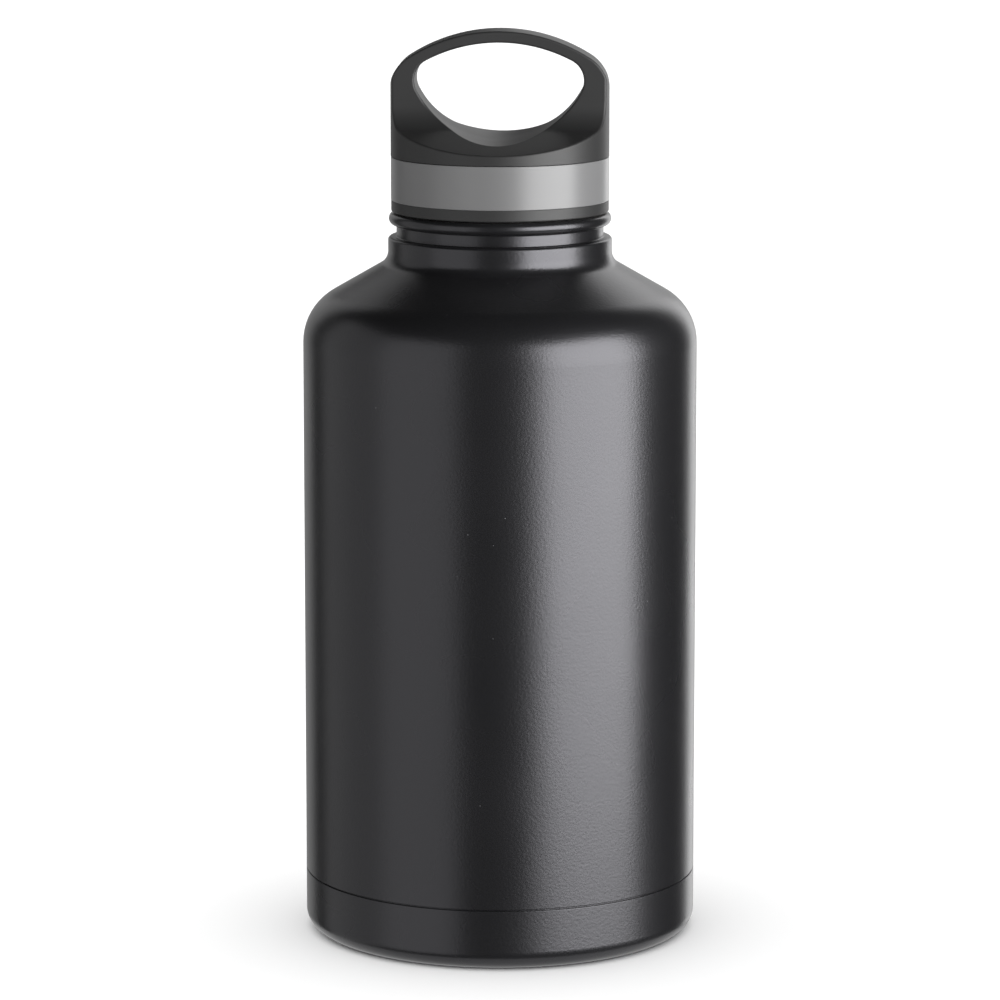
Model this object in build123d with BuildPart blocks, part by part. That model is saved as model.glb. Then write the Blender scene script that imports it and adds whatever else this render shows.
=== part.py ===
from build123d import *
from math import cos, hypot, pi, radians, sin, sqrt
import os

# Insulated growler: a double-wall steel vessel with a vacuum between its walls,
# closed by a screw lid whose cap carries a fixed loop handle.
# Millimetres, +Z up. The origin is on the vessel's axis, in the plane it stands on.
# The loop handle lies in the XZ plane.

# ---- driving dimensions: vessel ----
body_r = 62.0               # outer radius of the coated body
shell_wall = 0.6            # sheet of the outer shell
liner_wall = 0.5            # sheet of the inner vessel
shoulder_z = 188.5          # top of the straight body
shoulder_round = 18.0       # convex radius where the body turns into the cone
cone_angle = 30.0           # slope of the cone above the horizontal
collar_r = 35.15            # upright collar under the neck
collar_fillet = 5.0         # concave radius between cone and collar
collar_top_z = 221.7        # ledge on top of the collar
collar_edge = 1.0           # rounding of the collar's top edge
groove_r = 32.5             # neck groove between collar and bead
bead_r = 34.9               # largest radius of the rolled bead under the lid
bead_round = 1.95           # section radius of the bead
bead_top_z = 229.4
neck_r = 29.0               # outside of the neck, under the thread
neck_top_z = 242.2          # top edge of the outer shell
lip_z = 243.0               # rolled lip where the two walls join

# ---- driving dimensions: inner vessel ----
liner_r = 56.0              # bore of the inner vessel
liner_join_z = 20.0         # weld between the liner's tube and its bottom
liner_shoulder_z = 186.0
liner_shoulder_round = 16.0
mouth_r = 26.8              # bore of the mouth
liner_neck_fillet = 6.6     # turn from cone to neck, on the bore side
liner_floor_z = 12.0
liner_corner = 8.0

# ---- driving dimensions: base ----
seam_gap = 0.4              # open seam between base cup and shell
cup_top_z = 19.2            # top edge of the base cup
cup_wall = 0.6
cup_corner = 6.0            # rounding of the base edge
stand_inner_r = 49.0        # inner edge of the ring that the growler stands on
recess_r = 46.0
recess_depth = 2.4
shell_end_z = 7.0           # bottom edge of the outer shell, inside the cup
plate_wall = 0.8            # vacuum bottom plate
dome_r = 11.0
dome_rise = 1.2
port_r = 1.5

# ---- driving dimensions: screw thread, right hand ----
thread_lead = 5.0
neck_thread_turns = 1.25
lid_thread_turns = 1.5
lid_thread_z = 231.4        # centre of the lid's thread at its start, on +X
neck_thread_z = lid_thread_z + thread_lead / 2
thread_height = 1.45
thread_root_half = 1.45
thread_crest_half = 0.85
thread_sink = 0.25          # the thread's foot runs this deep into its wall

# ---- driving dimensions: lid ----
lid_r = 34.15               # skirt of the threaded core
lid_bottom_z = 229.7
band_r = 34.2
band_bottom_z = 233.3
band_top_z = 246.85
band_inner_r = 33.15
core_r = 33.0               # the core behind the band
core_bore_r = 30.9          # inside of the skirt, between the threads
core_top_z = 247.05
seat_z = 245.1              # ceiling of the gasket seat
plug_r = 25.6               # hollow plug that hangs into the mouth
plug_bottom_z = 234.0
plug_wall = 1.8
gasket_inner_r = 26.0
gasket_outer_r = 30.5
gasket_bottom_z = 243.1
gasket_top_z = 245.0

# ---- driving dimensions: handle cap ----
cap_r = 34.25
crown_radius = 53.1         # arc over the top of the loop
crown_top_z = 286.4
loop_corner = 13.0
loop_half_width = 34.35
strap_half = 8.0            # half the loop's thickness
scoop_round = 9.5           # concave radius from the strap's face to the slope
scoop_round_z = 264.9
scoop_slope = 16.5          # degrees that the scooped top falls outwards
hole_top_z = 282.8
hole_top_radius = 49.0
bowl_radius = 29.0
bowl_bottom_z = 252.4
hole_corner = 7.0
strap_edge = 0.7            # rounding of the loop's outer edges
hole_edge = 0.7             # rounding of the finger hole's edges
spigot_outer_r = 23.6       # ring under the cap that drops into the core
spigot_inner_r = 22.0
spigot_depth = 6.0
ceiling_z = 250.2           # inside of the cap over the insulation
foam_r = 21.5
foam_gap = 0.2


def turn_solid(points):
    """Turn a closed outline of (radius, height) points about the axis."""
    with BuildSketch(Plane.XZ) as outline:
        with BuildLine():
            Polyline(*points, close=True)
        make_face()
    revolve(outline.sketch, axis=Axis.Z)


def shouldered_outline(start, body, centre, arc_radius, neck_centre, neck_arc, top):
    """Half outline: a straight body, a convex shoulder, a cone and a concave turn up to a neck.

    Every curve is tangent to the next, so moving all of them by one wall keeps the sheet even.
    """
    lean = radians(90 - cone_angle)
    shoulder_end = (centre[0] + arc_radius * cos(lean), centre[1] + arc_radius * sin(lean))
    cone_end = (neck_centre[0] - neck_arc * cos(lean), neck_centre[1] - neck_arc * sin(lean))
    Polyline((0, start[1]), start, *body, (centre[0] + arc_radius, centre[1]))
    CenterArc(centre, arc_radius, 0, 90 - cone_angle)
    Line(shoulder_end, cone_end)
    CenterArc(neck_centre, neck_arc, 180, 90 - cone_angle)
    Line((neck_centre[0] - neck_arc, neck_centre[1]), top)


def turn_centre(centre, arc_radius, wall_r, fillet):
    """Centre of the concave turn that joins a shoulder's cone to an upright wall."""
    lean = radians(90 - cone_angle)
    along = centre[0] * cos(lean) + centre[1] * sin(lean) + arc_radius
    r = wall_r + fillet
    return (r, (along + fillet - r * cos(lean)) / sin(lean))


def shell_section(inset):
    """Half section of the outer shell, moved inwards by inset."""
    centre = (body_r - shoulder_round, shoulder_z)
    neck_centre = turn_centre(centre, shoulder_round, collar_r, collar_fillet)
    step_z = cup_top_z + seam_gap + inset
    end_r = body_r - cup_wall
    edge_centre = (collar_r - collar_edge, collar_top_z - collar_edge)
    bead_centre = (bead_r - bead_round, bead_top_z - bead_round)
    shouldered_outline(
        (end_r - inset, shell_end_z),
        [(end_r - inset, step_z), (body_r - inset, step_z)],
        centre, shoulder_round - inset,
        neck_centre, collar_fillet + inset,
        (collar_r - inset, edge_centre[1]),
    )
    CenterArc(edge_centre, collar_edge - inset, 0, 90)
    Polyline(
        (edge_centre[0], collar_top_z - inset),
        (groove_r - inset, collar_top_z - inset),
        (groove_r - inset, bead_centre[1] - bead_round + inset),
        (bead_centre[0], bead_centre[1] - bead_round + inset),
    )
    CenterArc(bead_centre, bead_round - inset, -90, 180)
    Polyline(
        (bead_centre[0], bead_top_z - inset),
        (neck_r - inset, bead_top_z - inset),
        (neck_r - inset, neck_top_z),
        (0, neck_top_z),
        (0, shell_end_z),
    )


def liner_section(grow, top_z):
    """Half section of the inner vessel's bore, moved outwards by grow."""
    centre = (liner_r - liner_shoulder_round, liner_shoulder_z)
    neck_centre = turn_centre(centre, liner_shoulder_round, mouth_r, liner_neck_fillet)
    shouldered_outline(
        (liner_r + grow, liner_join_z),
        [],
        centre, liner_shoulder_round + grow,
        neck_centre, liner_neck_fillet - grow,
        (mouth_r + grow, top_z),
    )
    Polyline((mouth_r + grow, top_z), (0, top_z), (0, liner_join_z))


def thread_section(root_r, outwards, z):
    """Trapezoid of a thread on a wall at root_r, its foot sunk into the wall."""
    sink_half = thread_root_half + thread_sink * (thread_root_half - thread_crest_half) / thread_height
    foot_r = root_r - outwards * thread_sink
    crest_r = root_r + outwards * thread_height
    Polyline(
        (foot_r, z - sink_half), (crest_r, z - thread_crest_half),
        (crest_r, z + thread_crest_half), (foot_r, z + sink_half), close=True,
    )


def add_thread(root_r, outwards, z, turns):
    """Sweep a thread up a helix that starts on +X."""
    with BuildLine() as helix:
        Helix(thread_lead, thread_lead * turns, root_r, center=(0, 0, z))
    with BuildSketch(Plane.XZ) as section:
        with BuildLine():
            thread_section(root_r, outwards, z)
        make_face()
    sweep(section.sketch, path=helix.line, is_frenet=True)


def away_from_strap(edge):
    """True for an edge whose middle lies on or outside the strap's two faces."""
    return abs((edge @ 0.5).Y) > strap_half - 0.1


def on_loop_rim(edge):
    """True for an edge between a face of the loop and the outside of the cap."""
    middle = edge @ 0.5
    on_wall = hypot(middle.X, middle.Y) > cap_r - 0.05
    on_crown = hypot(middle.X, middle.Z - crown_centre_z) > crown_radius - 0.9
    beside = abs(middle.X) > cap_r - 1 and middle.Z > scoop_round_z - scoop_round
    return away_from_strap(edge) and (on_wall or on_crown or beside)


def on_finger_hole(edge):
    """True for an edge of the finger hole's outline, on either face of the loop."""
    middle = edge @ 0.5
    top_miss = abs(hypot(middle.X, middle.Z - hole_arc_centre_z) - hole_top_radius)
    bowl_miss = abs(hypot(middle.X, middle.Z - bowl_centre_z) - bowl_radius)
    inside = abs(middle.X) < bowl_radius - 1.5
    return away_from_strap(edge) and inside and min(top_miss, bowl_miss) < 1.6


os.makedirs("parts", exist_ok=True)
finished = []

# ---- vessel: outer shell, one sheet from the base step to the top of the neck ----
with BuildPart() as outer_shell:
    with BuildSketch(Plane.XZ):
        with BuildLine():
            shell_section(0)
        make_face()
    revolve(axis=Axis.Z)
    with BuildSketch(Plane.XZ):
        with BuildLine():
            shell_section(shell_wall)
        make_face()
    revolve(axis=Axis.Z, mode=Mode.SUBTRACT)
    add_thread(neck_r, 1, neck_thread_z, neck_thread_turns)
outer_shell.part.label = "outer_shell"
finished.append(outer_shell.part)

# ---- vessel: inner tube with its shoulder, mouth and rolled lip ----
with BuildPart() as liner_tube:
    with BuildSketch(Plane.XZ):
        with BuildLine():
            liner_section(liner_wall, neck_top_z)
        make_face()
    revolve(axis=Axis.Z)
    with BuildSketch(Plane.XZ):
        with Locations((0, neck_top_z)):
            Rectangle(neck_r, lip_z - neck_top_z, align=(Align.MIN, Align.MIN))
    revolve(axis=Axis.Z)
    with BuildSketch(Plane.XZ):
        with BuildLine():
            liner_section(0, lip_z)
        make_face()
    revolve(axis=Axis.Z, mode=Mode.SUBTRACT)
    lip_edges = liner_tube.edges().filter_by(GeomType.CIRCLE).group_by(Axis.Z)[-1]
    fillet(lip_edges, 0.3)
liner_tube.part.label = "liner_tube"
finished.append(liner_tube.part)

# ---- vessel: dished bottom of the inner vessel, butt welded to the tube ----
with BuildPart() as liner_bottom:
    corner_r = liner_r + liner_wall - liner_corner
    with BuildSketch(Plane.XZ):
        with BuildLine():
            Line((0, liner_floor_z), (corner_r, liner_floor_z))
            CenterArc((corner_r, liner_join_z), liner_corner, -90, 90)
            Line((liner_r + liner_wall, liner_join_z), (liner_r, liner_join_z))
            CenterArc((corner_r, liner_join_z), liner_corner - liner_wall, 0, -90)
            Polyline(
                (corner_r, liner_floor_z + liner_wall),
                (0, liner_floor_z + liner_wall),
                (0, liner_floor_z),
            )
        make_face()
    revolve(axis=Axis.Z)
liner_bottom.part.label = "liner_bottom"
finished.append(liner_bottom.part)

# ---- vessel: reflecting foil wrapped round the liner, inside the vacuum ----
foil_r = liner_r + liner_wall + 0.4
foil_thickness = 0.2
with BuildPart() as foil_wrap:
    with BuildSketch(Plane.XY.offset(liner_join_z + 4)):
        Circle(foil_r + foil_thickness)
        Circle(foil_r, mode=Mode.SUBTRACT)
    extrude(amount=liner_shoulder_z - liner_join_z - 6)
foil_wrap.part.label = "foil_wrap"
finished.append(foil_wrap.part)

# ---- vessel: bottom plate of the outer wall, with the vacuum port in its dome ----
plate_z = shell_end_z - plate_wall
plate_r = body_r - cup_wall - 0.2
rim_outer_r = body_r - cup_wall - shell_wall - 0.1
with BuildPart() as vacuum_bottom:
    turn_solid([
        (0, plate_z + dome_rise),
        (dome_r, plate_z + dome_rise),
        (dome_r + 2, plate_z),
        (plate_r, plate_z),
        (plate_r, shell_end_z),
        (rim_outer_r, shell_end_z),
        (rim_outer_r, shell_end_z + 3),
        (rim_outer_r - plate_wall, shell_end_z + 3),
        (rim_outer_r - plate_wall, shell_end_z),
        (dome_r + 2, shell_end_z),
        (dome_r, shell_end_z + dome_rise),
        (0, shell_end_z + dome_rise),
    ])
    with Locations((0, 0, shell_end_z + dome_rise)):
        Hole(port_r)
vacuum_bottom.part.label = "vacuum_bottom"
finished.append(vacuum_bottom.part)

# ---- vessel: seal brazed over the vacuum port ----
with BuildPart() as port_seal:
    with Locations((0, 0, plate_z + dome_rise)):
        Cylinder(5, 0.9, align=(Align.CENTER, Align.CENTER, Align.MAX))
    fillet(port_seal.edges().group_by(Axis.Z)[0], 0.4)
port_seal.part.label = "port_seal"
finished.append(port_seal.part)

# ---- vessel: getter pellet, which keeps the vacuum, and the clip that holds it ----
getter_x = 30.0
pellet_r = 5.0
pellet_height = 2.4
clip_thickness = 0.4
with BuildPart() as getter_pellet:
    with Locations((getter_x, 0, shell_end_z)):
        Cylinder(pellet_r, pellet_height, align=(Align.CENTER, Align.CENTER, Align.MIN))
getter_pellet.part.label = "getter_pellet"
finished.append(getter_pellet.part)

clip_reach = pellet_r + 3
clip_leg = pellet_r + 0.3
clip_top_z = shell_end_z + pellet_height
with BuildPart() as getter_clip:
    with BuildSketch(Plane.XZ):
        with BuildLine():
            Polyline(
                (getter_x - clip_reach, shell_end_z),
                (getter_x - clip_leg, shell_end_z),
                (getter_x - clip_leg, clip_top_z),
                (getter_x + clip_leg, clip_top_z),
                (getter_x + clip_leg, shell_end_z),
                (getter_x + clip_reach, shell_end_z),
                (getter_x + clip_reach, shell_end_z + clip_thickness),
                (getter_x + clip_leg + clip_thickness, shell_end_z + clip_thickness),
                (getter_x + clip_leg + clip_thickness, clip_top_z + clip_thickness),
                (getter_x - clip_leg - clip_thickness, clip_top_z + clip_thickness),
                (getter_x - clip_leg - clip_thickness, shell_end_z + clip_thickness),
                (getter_x - clip_reach, shell_end_z + clip_thickness),
                close=True,
            )
        make_face()
    extrude(amount=2, both=True)
getter_clip.part.label = "getter_clip"
finished.append(getter_clip.part)

# ---- vessel: base cup, pushed over the stepped end of the shell ----
with BuildPart() as base_cup:
    cup_centre = (body_r - cup_corner, cup_corner)
    with BuildSketch(Plane.XZ):
        with BuildLine():
            Polyline(
                (0, recess_depth), (recess_r, recess_depth),
                (stand_inner_r, 0), (cup_centre[0], 0),
            )
            CenterArc(cup_centre, cup_corner, -90, 90)
            Polyline(
                (body_r, cup_corner), (body_r, cup_top_z),
                (body_r - cup_wall, cup_top_z), (body_r - cup_wall, cup_corner),
            )
            CenterArc(cup_centre, cup_corner - cup_wall, 0, -90)
            Polyline(
                (cup_centre[0], cup_wall), (stand_inner_r + 0.3, cup_wall),
                (recess_r + 0.3, recess_depth + cup_wall),
                (0, recess_depth + cup_wall), (0, recess_depth),
            )
        make_face()
    revolve(axis=Axis.Z)
base_cup.part.label = "base_cup"
finished.append(base_cup.part)

# ---- seal: flat silicone ring between the lip and the lid ----
with BuildPart() as gasket:
    with BuildSketch(Plane.XY.offset(gasket_bottom_z)):
        Circle(gasket_outer_r)
        Circle(gasket_inner_r, mode=Mode.SUBTRACT)
    extrude(amount=gasket_top_z - gasket_bottom_z)
    fillet(gasket.edges().filter_by(GeomType.CIRCLE), 0.4)
gasket.part.label = "gasket"
finished.append(gasket.part)

# ---- lid: threaded core with skirt, gasket seat and hollow plug ----
with BuildPart() as threaded_core:
    turn_solid([
        (0, plug_bottom_z), (plug_r, plug_bottom_z), (plug_r, seat_z), (core_bore_r, seat_z),
        (core_bore_r, lid_bottom_z), (lid_r, lid_bottom_z), (lid_r, band_bottom_z),
        (core_r, band_bottom_z), (core_r, core_top_z), (plug_r - plug_wall, core_top_z),
        (plug_r - plug_wall, plug_bottom_z + plug_wall), (0, plug_bottom_z + plug_wall),
    ])
    rims = threaded_core.edges().filter_by(GeomType.CIRCLE).group_by(Axis.Z)
    fillet(rims[0].sort_by(SortBy.RADIUS)[-1], 0.5)
    rims = threaded_core.edges().filter_by(GeomType.CIRCLE)
    at_plug_bottom = rims.filter_by_position(Axis.Z, plug_bottom_z - 0.01, plug_bottom_z + 0.01)
    fillet(at_plug_bottom.sort_by(SortBy.RADIUS)[-1], 1.2)
    add_thread(core_bore_r, -1, lid_thread_z, lid_thread_turns)
threaded_core.part.label = "threaded_core"
finished.append(threaded_core.part)

# ---- lid: grey accent band round the core ----
with BuildPart() as accent_band:
    with BuildSketch(Plane.XY.offset(band_bottom_z)):
        Circle(band_r)
        Circle(band_inner_r, mode=Mode.SUBTRACT)
    extrude(amount=band_top_z - band_bottom_z)
    band_rims = accent_band.edges().filter_by(GeomType.CIRCLE).sort_by(SortBy.RADIUS)[-2:]
    fillet(band_rims, 0.3)
accent_band.part.label = "accent_band"
finished.append(accent_band.part)

# ---- lid: cap with the loop handle, moulded in one piece ----
crown_centre_z = crown_top_z - crown_radius
corner_x = loop_half_width - loop_corner
corner_z = crown_centre_z + sqrt((crown_radius - loop_corner) ** 2 - corner_x ** 2)
crown_end = (
    corner_x * crown_radius / (crown_radius - loop_corner),
    crown_centre_z + (corner_z - crown_centre_z) * crown_radius / (crown_radius - loop_corner),
)
slope_lean = radians(90 - scoop_slope)
scoop_centre = (strap_half + scoop_round, scoop_round_z)
slope_start = (
    scoop_centre[0] - scoop_round * cos(slope_lean),
    scoop_centre[1] - scoop_round * sin(slope_lean),
)
outside = cap_r + 6
slope_end_z = slope_start[1] - (outside - slope_start[0]) / (sin(slope_lean) / cos(slope_lean))
hole_arc_centre_z = hole_top_z - hole_top_radius
bowl_centre_z = bowl_bottom_z + bowl_radius
with BuildPart() as handle_cap:
    with BuildSketch(Plane.XZ):
        with BuildLine():
            crown = ThreePointArc(
                (-crown_end[0], crown_end[1]), (0, crown_top_z), (crown_end[0], crown_end[1]),
            )
            for side in (-1, 1):
                corner_mid = (
                    side * (corner_x + loop_corner * cos(pi / 6)),
                    corner_z + loop_corner * sin(pi / 6),
                )
                ThreePointArc(
                    (side * crown_end[0], crown_end[1]), corner_mid,
                    (side * loop_half_width, corner_z),
                )
            Polyline(
                (loop_half_width, corner_z), (loop_half_width, core_top_z),
                (-loop_half_width, core_top_z), (-loop_half_width, corner_z),
            )
        make_face()
    extrude(amount=outside, both=True)
    with BuildSketch(Plane.XY.offset(core_top_z - 1)):
        Circle(cap_r)
    extrude(amount=crown_top_z - core_top_z + 2, mode=Mode.INTERSECT)
    with BuildSketch(Plane.YZ):
        with BuildLine():
            Polyline((outside, crown_top_z + 2), (strap_half, crown_top_z + 2), (strap_half, scoop_round_z))
            ThreePointArc(
                (strap_half, scoop_round_z),
                (
                    scoop_centre[0] - scoop_round * cos(slope_lean / 2),
                    scoop_centre[1] - scoop_round * sin(slope_lean / 2),
                ),
                slope_start,
            )
            Polyline(slope_start, (outside, slope_end_z), (outside, crown_top_z + 2))
        make_face()
        mirror(about=Plane.YZ)
    extrude(amount=outside, both=True, mode=Mode.SUBTRACT)
    with BuildSketch(Plane.XZ):
        with Locations((0, hole_arc_centre_z)):
            Circle(hole_top_radius)
        with Locations((0, bowl_centre_z)):
            Circle(bowl_radius, mode=Mode.INTERSECT)
        fillet(vertices(), hole_corner)
    extrude(amount=outside, both=True, mode=Mode.SUBTRACT)
    fillet(handle_cap.edges().filter_by(on_loop_rim), strap_edge)
    fillet(handle_cap.edges().filter_by(on_finger_hole), hole_edge)
    with BuildSketch(Plane.XY.offset(core_top_z)):
        Circle(foam_r)
    extrude(amount=ceiling_z - core_top_z, mode=Mode.SUBTRACT)
    with BuildSketch(Plane.XY.offset(core_top_z)):
        Circle(spigot_outer_r)
        Circle(spigot_inner_r, mode=Mode.SUBTRACT)
    extrude(amount=-spigot_depth)
handle_cap.part.label = "handle_cap"
finished.append(handle_cap.part)

# ---- lid: insulating foam in the closed space of plug and cap ----
with BuildPart() as lid_insulation:
    with BuildSketch(Plane.XY.offset(plug_bottom_z + plug_wall + foam_gap)):
        Circle(foam_r - foam_gap)
    extrude(amount=ceiling_z - plug_bottom_z - plug_wall - 2 * foam_gap)
    chamfer(lid_insulation.edges().group_by(Axis.Z)[-1], 1.0)
lid_insulation.part.label = "lid_insulation"
finished.append(lid_insulation.part)

for piece in finished:
    export_step(piece, f"parts/{piece.label}.step")

# ---- capacity, to hold against the nominal size ----
with BuildPart() as capacity:
    with BuildSketch(Plane.XZ):
        with BuildLine():
            liner_section(0, lip_z)
        make_face()
    revolve(axis=Axis.Z)
    with BuildSketch(Plane.XZ):
        with Locations((0, liner_floor_z + liner_wall)):
            Rectangle(
                liner_r, liner_join_z - liner_floor_z - liner_wall,
                align=(Align.MIN, Align.MIN),
            )
    revolve(axis=Axis.Z)
litres = capacity.part.volume / 1e6
ounces = litres * 33.814
print(f"capacity to the brim {litres:.3f} l, {ounces:.1f} fl oz")
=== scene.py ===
"""Insulated growler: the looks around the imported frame.

A black powder-coated double-wall vessel with a screw lid. The lid is a threaded core with a
grey accent band and a black cap that rises into a fixed loop handle. Lengths are in metres.
"""

from __future__ import annotations

import logging
import math
from dataclasses import dataclass
from enum import Enum
from typing import Callable, Sequence

import bpy
import numpy as np
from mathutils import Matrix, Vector

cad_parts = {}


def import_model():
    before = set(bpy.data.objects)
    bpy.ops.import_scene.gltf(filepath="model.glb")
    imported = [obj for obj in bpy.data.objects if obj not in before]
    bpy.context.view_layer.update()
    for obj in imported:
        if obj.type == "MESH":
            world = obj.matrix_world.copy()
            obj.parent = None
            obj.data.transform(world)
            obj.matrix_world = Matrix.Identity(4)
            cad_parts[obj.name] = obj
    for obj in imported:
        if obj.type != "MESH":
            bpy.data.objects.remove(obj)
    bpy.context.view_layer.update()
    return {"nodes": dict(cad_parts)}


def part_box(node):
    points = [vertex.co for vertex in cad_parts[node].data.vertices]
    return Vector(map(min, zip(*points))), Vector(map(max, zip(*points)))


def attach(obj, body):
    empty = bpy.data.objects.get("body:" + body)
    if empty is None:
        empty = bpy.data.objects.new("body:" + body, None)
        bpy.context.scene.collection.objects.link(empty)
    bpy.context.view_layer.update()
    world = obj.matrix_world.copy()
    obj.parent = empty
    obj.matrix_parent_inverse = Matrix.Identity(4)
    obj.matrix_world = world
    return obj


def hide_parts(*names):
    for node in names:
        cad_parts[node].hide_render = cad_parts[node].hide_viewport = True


log = logging.getLogger("growler")

SUPPORT = 0.0002
ARC_STEP = math.radians(6.0)
STRAIGHT = 1e-6
SAME_POINT = 1e-7
ON_WALL = 1e-5


class Body(Enum):
    """Bodies of the frame that pieces ride on."""

    VESSEL = "vessel"
    SEAL = "seal"
    LID = "lid"


class Slot(Enum):
    """Material slots of the record, one passed along with each placed piece."""

    POWDER_COAT = "powder_coat"
    SILICONE = "silicone"
    LID_PLASTIC = "lid_plastic"
    BAND_GREY = "band_grey"


# ---- outlines and turned surfaces ----


@dataclass(frozen=True)
class Corner:
    """One corner of an outline in the radius and height plane.

    Args:
        r: Distance from the axis.
        z: Height.
        turn: Radius of the arc that rounds the corner.
        step: Longest spacing of points on the line that leaves the corner.
    """

    r: float
    z: float
    turn: float = 0.0
    step: float = 0.0025


def line_points(start: np.ndarray, end: np.ndarray, step: float) -> np.ndarray:
    """Points on a straight line from start to end, closer together at its two ends.

    The end points are left out. The first and last points stand a support length in from the
    ends, and the others are evenly spaced between them, so smooth shading stays flat.

    Args:
        start: First end of the line.
        end: Second end of the line.
        step: Longest spacing between points.

    Returns:
        The points, one row each. There are none on a line shorter than four support lengths.
    """
    length = float(np.hypot(*(end - start)))
    if length < 4 * SUPPORT:
        return np.empty((0, 2))
    inner = max(2, math.ceil((length - 2 * SUPPORT) / step) + 1)
    along = np.linspace(SUPPORT, length - SUPPORT, inner) / length
    return start + along[:, None] * (end - start)


def arc_points(
    corner: np.ndarray, before: np.ndarray, after: np.ndarray, turn: float
) -> np.ndarray:
    """Points that round one corner.

    An arc of radius turn touches both lines, each at turn times the tangent of half the angle
    between their directions from the corner. Its points are evenly spaced in angle.

    Args:
        corner: The corner itself.
        before: Unit direction in which the outline arrives.
        after: Unit direction in which it leaves.
        turn: Radius of the arc.

    Returns:
        The points of the arc, both ends among them, or the corner alone where it has no arc.
    """
    cross = float(before[0] * after[1] - before[1] * after[0])
    angle = math.atan2(cross, float(before @ after))
    if turn <= 0 or abs(angle) < STRAIGHT:
        return corner[None, :]
    side = math.copysign(1.0, angle)
    start = corner - before * turn * math.tan(abs(angle) / 2)
    centre = start + side * turn * np.array([-before[1], before[0]])
    swept = np.linspace(0.0, angle, max(4, math.ceil(abs(angle) / ARC_STEP) + 1))[:, None]
    arm = start - centre
    across = np.array([-arm[1], arm[0]])
    return centre + np.cos(swept) * arm + np.sin(swept) * across


def outline(corners: Sequence[Corner], closed: bool) -> np.ndarray:
    """Dense outline through a run of rounded corners.

    Args:
        corners: The corners in order. The vessel's outside is followed upwards.
        closed: Whether the last corner joins the first one.

    Returns:
        The outline's points, one row of radius and height each.
    """
    points = np.array([[c.r, c.z] for c in corners])
    ahead = np.roll(points, -1, axis=0) - points
    heading = ahead / np.linalg.norm(ahead, axis=1)[:, None]
    arcs = [
        arc_points(points[i], heading[i - 1], heading[i], corners[i].turn)
        if closed or 0 < i < len(corners) - 1
        else points[i][None, :]
        for i in range(len(corners))
    ]
    pieces = []
    for i, arc in enumerate(arcs):
        pieces.append(arc)
        if closed or i < len(arcs) - 1:
            pieces.append(line_points(arc[-1], arcs[(i + 1) % len(arcs)][0], corners[i].step))
    path = np.vstack(pieces)
    keep = np.linalg.norm(path - np.roll(path, 1, axis=0), axis=1) > SAME_POINT
    keep[0] = keep[0] or not closed
    return path[keep]


def moved_in(corners: Sequence[Corner], wall: float) -> list[Corner]:
    """The corners of the other side of a sheet, followed backwards.

    Each line moves to its left by the wall, so a corner moves by the sum of its two lines'
    normals over one plus their dot product. Arcs keep their centres.

    Args:
        corners: Outer side of the sheet, in order.
        wall: Thickness of the sheet.

    Returns:
        The inner side's corners, last one first.
    """
    points = np.array([[c.r, c.z] for c in corners])
    ahead = np.diff(points, axis=0)
    heading = ahead / np.linalg.norm(ahead, axis=1)[:, None]
    normal = np.column_stack([-heading[:, 1], heading[:, 0]])
    before = np.vstack([normal[:1], normal])
    after = np.vstack([normal, normal[-1:]])
    dot = np.sum(before * after, axis=1)
    shifted = points + wall * (before + after) / (1 + dot)[:, None]
    left = before[:, 0] * after[:, 1] - before[:, 1] * after[:, 0]
    radii = [
        max(0.0, c.turn - math.copysign(wall, side)) if c.turn else 0.0
        for c, side in zip(corners, left)
    ]
    inner = [Corner(p[0], p[1], t, c.step) for p, t, c in zip(shifted.tolist(), radii, corners)]
    return inner[::-1]


Rise = Callable[[np.ndarray, np.ndarray, np.ndarray], np.ndarray]


def turned_mesh(
    name: str, path: np.ndarray, closed: bool, around: int = 256, rise: Rise | None = None
) -> bpy.types.Mesh:
    """Surface of revolution about the vertical axis.

    A point is (r cos a, r sin a, z), where (r, z) runs along the outline and a runs once
    round. An optional rise is added to r. An open outline starts and ends on the axis, where
    its end points become single poles.

    Args:
        name: Name of the mesh.
        path: The outline, followed so that the material is on its left.
        closed: Whether the outline's last point joins its first one.
        around: Number of columns round the axis.
        rise: Gives the change of radius from the angle, the radius and the height.

    Returns:
        The closed mesh, smooth shaded, its faces outwards.
    """
    angle = np.linspace(0.0, 2 * np.pi, around, endpoint=False)[None, :]
    rings = path if closed else path[1:-1]
    r, z = rings[:, :1], rings[:, 1:]
    radius = r + np.zeros_like(angle) if rise is None else r + rise(angle, r, z)
    height = z + np.zeros_like(radius)
    grid = np.stack([radius * np.cos(angle), radius * np.sin(angle), height], axis=-1)
    count = len(rings)
    index = np.arange(count * around).reshape(count, around)
    lower = index if closed else index[:-1]
    upper = np.roll(index, -1, axis=0) if closed else index[1:]
    corners = [lower, np.roll(lower, -1, axis=1), np.roll(upper, -1, axis=1), upper]
    quads = np.stack(corners, axis=-1)
    points = grid.reshape(-1, 3)
    faces = quads.reshape(-1, 4).tolist()
    if not closed:
        poles = np.array([[0.0, 0.0, path[0, 1]], [0.0, 0.0, path[-1, 1]]])
        first, last = index[0], index[-1]
        ones = np.ones_like(first)
        faces += np.column_stack([ones * len(points), np.roll(first, -1), first]).tolist()
        faces += np.column_stack([ones * (len(points) + 1), last, np.roll(last, -1)]).tolist()
        points = np.vstack([points, poles])
    mesh = bpy.data.meshes.new(name)
    mesh.from_pydata(points.tolist(), [], faces)
    mesh.shade_smooth()
    return mesh


def smooth_step(value: np.ndarray) -> np.ndarray:
    """Ease from 0 to 1: three times the square less twice the cube, of the value held to 0..1."""
    held = np.clip(value, 0.0, 1.0)
    return held * held * (3 - 2 * held)


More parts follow.
